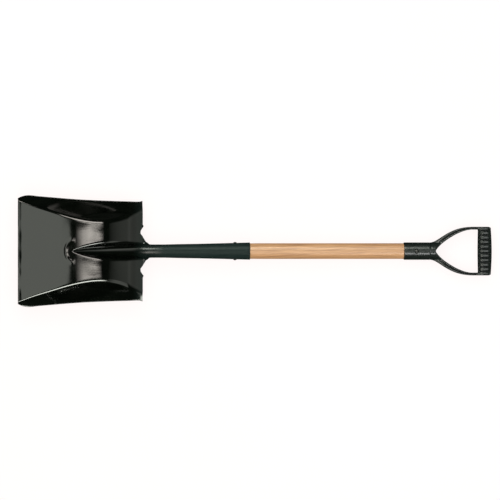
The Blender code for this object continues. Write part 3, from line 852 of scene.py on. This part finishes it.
def arms():
    """Both arms as one horseshoe that runs round the crotch."""
    around_crotch = [-1.0] + spaced(-1.0, 0.0, CROTCH_STEPS)
    along_arm = spaced(0.0, 1.0, ARM_STEPS) + spaced(1.0, 3.0, ARM_TIP_STEPS)
    half = [arm_section(t) for t in around_crotch + along_arm]
    other = [[Vector((p.x, -p.y, p.z)) for p in section] for section in reversed(half[1:])]
    return skin(other + half)


def bar_section(y):
    """Rounded section of the hand bar, fattest in the middle of its length."""
    swell = math.cos(0.5 * math.pi * y / BAR_HALF_LENGTH)
    outer = BAR_OUTER_X + BAR_BULGE * swell
    inner = BAR_INNER_X - BAR_INNER_SHARE * BAR_BULGE * swell
    thick = BAR_END_THICK + (BAR_THICK - BAR_END_THICK) * swell
    points = []
    for k in range(BAR_POINTS):
        angle = math.tau * (k + 0.5) / BAR_POINTS
        power = 2 / BAR_ROUNDNESS
        across = math.copysign(abs(math.cos(angle)) ** power, math.cos(angle))
        up = math.copysign(abs(math.sin(angle)) ** power, math.sin(angle))
        points.append((0.5 * (inner + outer) + 0.5 * (outer - inner) * across, y, thick * up))
    return points


def groove_outline(middle):
    """Section of one groove: a V whose lips are rounded over to the ribs on both sides."""
    half = [(middle + GROOVE_HALF + RIB_ROUND, GROOVE_TOP_Z)]
    for turn in spaced(0.0, math.pi / 2, ARC_STEPS):
        half.append((middle + GROOVE_HALF + RIB_ROUND * (1 - math.sin(turn)),
                     BAR_THICK - RIB_ROUND * (1 - math.cos(turn))))
    return half + [(middle, GROOVE_FLOOR_Z)] + [(2 * middle - y, z) for y, z in reversed(half)]


def groove_cutters():
    """One cutter per groove: ten across the face of the bar and ten across its underside."""
    middle_x = 0.5 * (BAR_INNER_X + BAR_OUTER_X)
    ends = (middle_x - 0.5 * GROOVE_LENGTH, middle_x + 0.5 * GROOVE_LENGTH)
    for side in (-1, 1):
        for i in range(GROOVES):
            outline = groove_outline((i - 0.5 * (GROOVES - 1)) * GROOVE_PITCH)
            yield skin([[(x, y, side * z) for y, z in outline] for x in ends])


def make_grip(finish):
    """The whole moulding; a fine voxel skin then rounds every joint and edge, as the mould does."""
    grip = add_object("grip_moulding", ferrule(), finish, GRIP_CREASE)
    combine(grip, arms(), "UNION")
    sections = [bar_section(y) for y in spaced(-BAR_HALF_LENGTH, BAR_HALF_LENGTH, BAR_STATIONS)]
    combine(grip, skin([bar_section(-BAR_HALF_LENGTH)] + sections), "UNION")
    for groove in groove_cutters():
        combine(grip, groove, "DIFFERENCE")
    bore = [(BORE_START_X, FERRULE_BORE_R), (BORE_END_X, FERRULE_BORE_R)]
    combine(grip, turned(bore, WIDE_SEGMENTS), "DIFFERENCE")
    shank_r = SCREW_R + CLEARANCE
    floor = FERRULE_R - RECESS_DEPTH
    recess = [(0.5 * FERRULE_R, shank_r), (floor, shank_r), (floor, RECESS_R), (RECESS_CUT_TOP, RECESS_R)]
    combine(grip, turned(recess, RECESS_SEGMENTS, upright_axis(SCREW_X)), "DIFFERENCE")
    voxels = grip.modifiers.new("voxels", "REMESH")
    voxels.mode = "VOXEL"
    voxels.voxel_size = GRIP_VOXEL
    voxels.use_smooth_shade = True
    smooth = grip.modifiers.new("smooth", "SMOOTH")
    smooth.factor = 0.5
    smooth.iterations = GRIP_SMOOTHING
    settle(grip)
    return grip


# ---------------------------------------------------------------- studio


def fade_edges(data, shares, slant):
    """Dims an area light towards its edges over a share of each side.

    A slant also cuts its low y side, over that share of its width at the rear end and not at all at the
    front end.
    """
    data.use_nodes = True
    tree = data.node_tree
    place = node(tree, "ShaderNodeNewGeometry").outputs["Parametric"]
    axes = node(tree, "ShaderNodeSeparateXYZ", {"Vector": place})
    strength = 1.0
    for axis, share in zip(("X", "Y"), shares):
        off_centre = calculate(tree, "ABSOLUTE", calculate(tree, "SUBTRACT", axes.outputs[axis], 0.5))
        strength = calculate(tree, "MULTIPLY", strength, remap(tree, off_centre, 0.5, 0.5 - share))
    cut = calculate(tree, "MULTIPLY", calculate(tree, "SUBTRACT", 1.0, axes.outputs["X"]), slant)
    inside = remap(tree, calculate(tree, "SUBTRACT", axes.outputs["Y"], cut), 0.0, shares[1])
    strength = calculate(tree, "MULTIPLY", strength, inside)
    tree.links.new(strength, tree.nodes["Emission"].inputs["Strength"])


def add_light(name, size_x, size_y, place, radiance, tint, fades, slant, mirrored=True,
              lights_surfaces=True):
    """A rectangular softbox that points down and dims at its edges. The camera doesn't see it."""
    data = bpy.data.lights.new(name, "AREA")
    data.shape = "RECTANGLE"
    data.size, data.size_y = size_x, size_y
    data.energy = radiance * math.pi * size_x * size_y
    data.color = tint
    fade_edges(data, fades, slant)
    light = bpy.data.objects.new(name, data)
    bpy.context.scene.collection.objects.link(light)
    light.location = place
    light.visible_camera = False
    light.visible_glossy = mirrored
    light.visible_diffuse = lights_surfaces
    return light


def ceiling_light(name, extent, **kinds):
    """A light from its row in the table."""
    low_x, high_x, low_y, high_y, height, radiance, tint, fades, slant = extent
    place = (0.5 * (low_x + high_x), 0.5 * (low_y + high_y), height)
    add_light(name, high_x - low_x, high_y - low_y, place, radiance, tint, fades, slant, **kinds)


def light_studio():
    """The cards and the fill overhead, the upright rear card, and the surround."""
    for name, extent in CARDS.items():
        ceiling_light(name, extent, lights_surfaces=False)
    ceiling_light("fill", FILL, mirrored=False)
    place = (REAR_CARD_X, 0, 0.5 * (REAR_CARD_LOW + REAR_CARD_HIGH))
    rear = add_light("rear_card", REAR_CARD_WIDTH, REAR_CARD_HIGH - REAR_CARD_LOW, place,
                     REAR_CARD_RADIANCE, GREENISH, REAR_CARD_FADES, 0.0, lights_surfaces=False)
    rear.rotation_euler = (math.pi / 2, 0, -math.pi / 2)

    world = bpy.data.worlds.new("studio")
    bpy.context.scene.world = world
    world.use_nodes = True
    tree = world.node_tree
    background = tree.nodes["Background"]
    rays = node(tree, "ShaderNodeLightPath").outputs
    lit = blend_colours(tree, rays["Is Diffuse Ray"], MIRRORED_SURROUND, SOFT_SURROUND)
    tree.links.new(blend_colours(tree, rays["Is Camera Ray"], lit, BACKDROP), background.inputs["Color"])


def make_floor(finish):
    bm = bmesh.new()
    bmesh.ops.create_grid(bm, x_segments=FLOOR_CELLS, y_segments=FLOOR_CELLS, size=FLOOR_HALF)
    floor = add_object("floor", bm, finish)
    floor.visible_glossy = False


def make_camera():
    data = bpy.data.cameras.new("camera")
    data.sensor_width = SENSOR
    data.lens = SENSOR * (CAMERA_HEIGHT - VIEW_LEVEL) / VIEW_WIDTH
    data.clip_end = CAMERA_REACH
    camera = bpy.data.objects.new("camera", data)
    bpy.context.scene.collection.objects.link(camera)
    camera.location = (CAMERA_X, CAMERA_Y, CAMERA_HEIGHT)
    bpy.context.scene.camera = camera


def main():
    install(make_blade(black_enamel()), "blade")
    install(make_shaft(bare_ash()), "handle_shaft")
    install(make_rivet(dark_steel()), "socket_rivet")
    install(make_screw(bright_steel()), "grip_screw")
    install(make_grip(green_black_plastic()), "d_grip")
    make_floor(pale_floor())
    light_studio()
    make_camera()
    bpy.context.scene.view_settings.view_transform = "Standard"


main()
